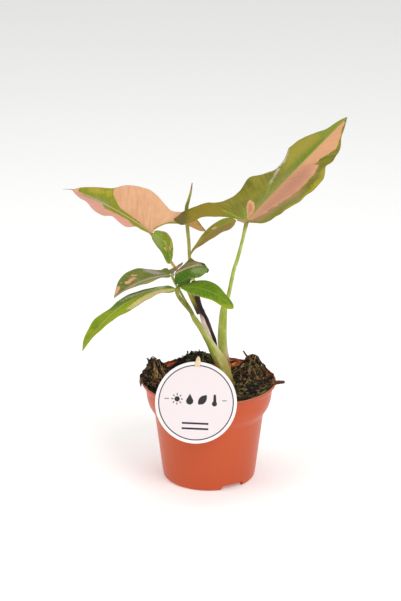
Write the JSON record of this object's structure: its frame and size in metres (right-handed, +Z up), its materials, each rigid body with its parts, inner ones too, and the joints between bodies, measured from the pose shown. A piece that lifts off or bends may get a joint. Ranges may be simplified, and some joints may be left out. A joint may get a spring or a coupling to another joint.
{
  "type": "arrowhead plant in a nursery pot",
  "caption": "Arrowhead plant with pink and green variegated leaves on arched petioles, in a terracotta-coloured nursery pot with a round care card on a wooden pick.",
  "frame": {"origin": "middle of the pot's underside, on the pot's axis and level with its foot ring", "axes": "+Z up out of the pot, -Y towards the side where the round card leans, +X to the right as seen from that side"},
  "size_m": [0.2485, 0.1825, 0.3107],
  "materials": {
    "terracotta_plastic": "satin",
    "peat": "rough",
    "bark": "rough",
    "card": "satin",
    "birch": "matte",
    "green_petiole": "satin",
    "dark_stem": "satin",
    "furled_leaf": "satin",
    "leaf_green": "satin",
    "leaf_olive": "satin",
    "leaf_pink": "satin"
  },
  "bodies": {
    "root": {"pot": "terracotta_plastic", "soil": "peat", "bark_chip": "bark", "label_card": "card", "label_stick": "birch", "dark_stem": "dark_stem", "leader": "furled_leaf", "petiole_right": "green_petiole", "petiole_left": "green_petiole", "front_shoot": "green_petiole", "blade_right": "leaf_olive", "blade_right_leaflet": "leaf_olive", "blade_left": "leaf_pink", "blade_left_leaflet": "leaf_green", "blade_centre": "leaf_green", "blade_centre_leaflet": "leaf_green", "blade_centre_lobe": "leaf_green", "blade_front": "leaf_green", "blade_front_leaflet": "leaf_green", "blade_front_lobe": "leaf_green"}
  },
  "joints": []
}
